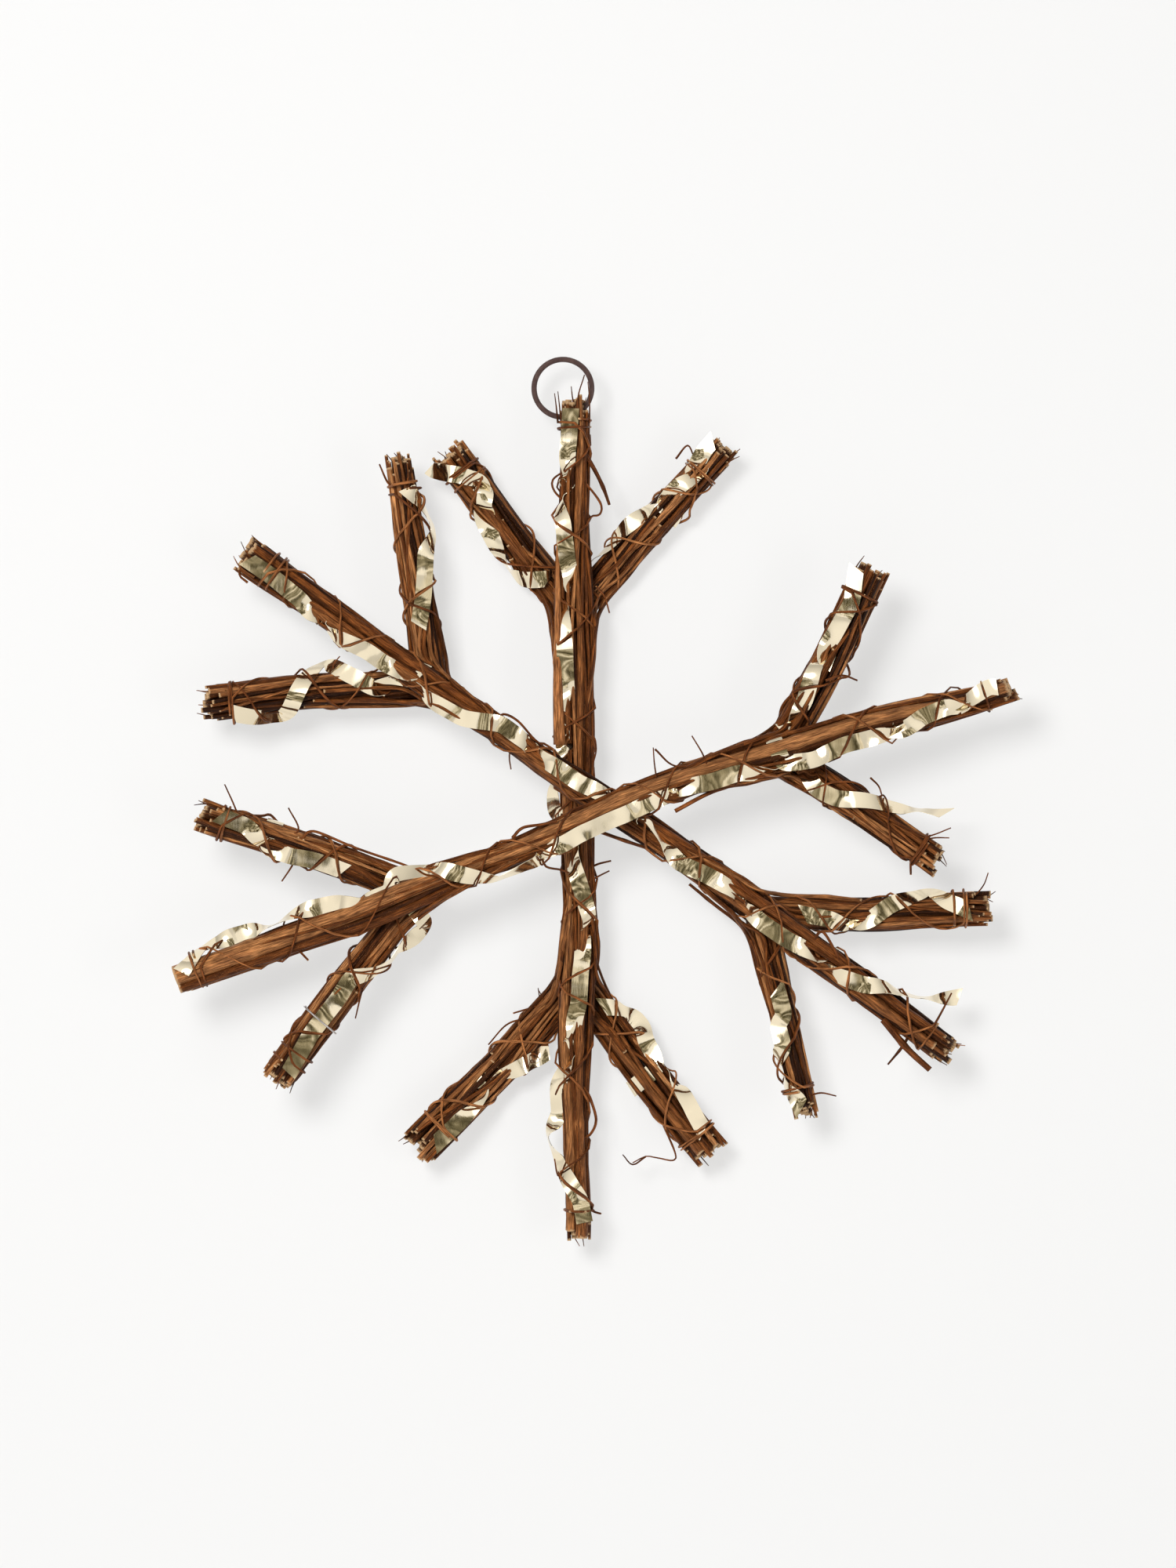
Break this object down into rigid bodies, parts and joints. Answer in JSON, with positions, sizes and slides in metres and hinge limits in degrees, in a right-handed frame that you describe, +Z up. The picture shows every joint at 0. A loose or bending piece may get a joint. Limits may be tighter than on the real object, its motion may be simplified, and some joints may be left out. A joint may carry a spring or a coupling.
{
  "type": "rattan snowflake ornament",
  "caption": "Hanging snowflake made of crossed bundles of vine twigs with forked side bundles, wound with gold film ribbon and thin vine, on an iron ring.",
  "frame": {"origin": "inside top of the iron ring, where the ornament hangs on a nail or hook", "axes": "+Z up, +X to the right as seen from the front, the front faces -Y and the wall side +Y"},
  "size_m": [0.503, 0.0738, 0.5289],
  "materials": {
    "twig_bark": "dry reddish brown bark with paler worn ridges and pale cut ends",
    "binding_vine": "thin dark peeled vine, satin",
    "gold_ribbon": "mirror-bright champagne gold film ribbon",
    "ring_iron": "satin dark brown enamel on wire",
    "staple_steel": "plain steel wire"
  },
  "bodies": {
    "root": {"arm_falling": "twig_bark", "arm_rising": "twig_bark", "arm_vertical": "twig_bark", "binding_vine_bottom_left": "binding_vine", "binding_vine_bottom_right": "binding_vine", "binding_vine_falling_first": "binding_vine", "binding_vine_falling_second": "binding_vine", "binding_vine_lower_left_down": "binding_vine", "binding_vine_lower_left_up": "binding_vine", "binding_vine_lower_right_down": "binding_vine", "binding_vine_lower_right_side": "binding_vine", "binding_vine_rising_first": "binding_vine", "binding_vine_rising_second": "binding_vine", "binding_vine_top_left": "binding_vine", "binding_vine_top_right": "binding_vine", "binding_vine_upper_left_side": "binding_vine", "binding_vine_upper_left_up": "binding_vine", "binding_vine_upper_right_down": "binding_vine", "binding_vine_upper_right_up": "binding_vine", "binding_vine_vertical_first": "binding_vine", "binding_vine_vertical_second": "binding_vine", "branch_bottom_left": "twig_bark", "branch_bottom_right": "twig_bark", "branch_lower_left_down": "twig_bark", "branch_lower_left_up": "twig_bark", "branch_lower_right_down": "twig_bark", "branch_lower_right_side": "twig_bark", "branch_top_left": "twig_bark", "branch_top_right": "twig_bark", "branch_upper_left_side": "twig_bark", "branch_upper_left_up": "twig_bark", "branch_upper_right_down": "twig_bark", "branch_upper_right_up": "twig_bark", "gold_ribbon_bottom_left": "gold_ribbon", "gold_ribbon_bottom_right": "gold_ribbon", "gold_ribbon_falling": "gold_ribbon", "gold_ribbon_lower_left_down": "gold_ribbon", "gold_ribbon_lower_left_up": "gold_ribbon", "gold_ribbon_lower_right_down": "gold_ribbon", "gold_ribbon_lower_right_side": "gold_ribbon", "gold_ribbon_rising": "gold_ribbon", "gold_ribbon_top_left": "gold_ribbon", "gold_ribbon_top_right": "gold_ribbon", "gold_ribbon_upper_left_side": "gold_ribbon", "gold_ribbon_upper_left_up": "gold_ribbon", "gold_ribbon_upper_right_down": "gold_ribbon", "gold_ribbon_upper_right_up": "gold_ribbon", "gold_ribbon_vertical": "gold_ribbon", "hanging_ring": "ring_iron", "wire_staple": "staple_steel"}
  },
  "joints": []
}
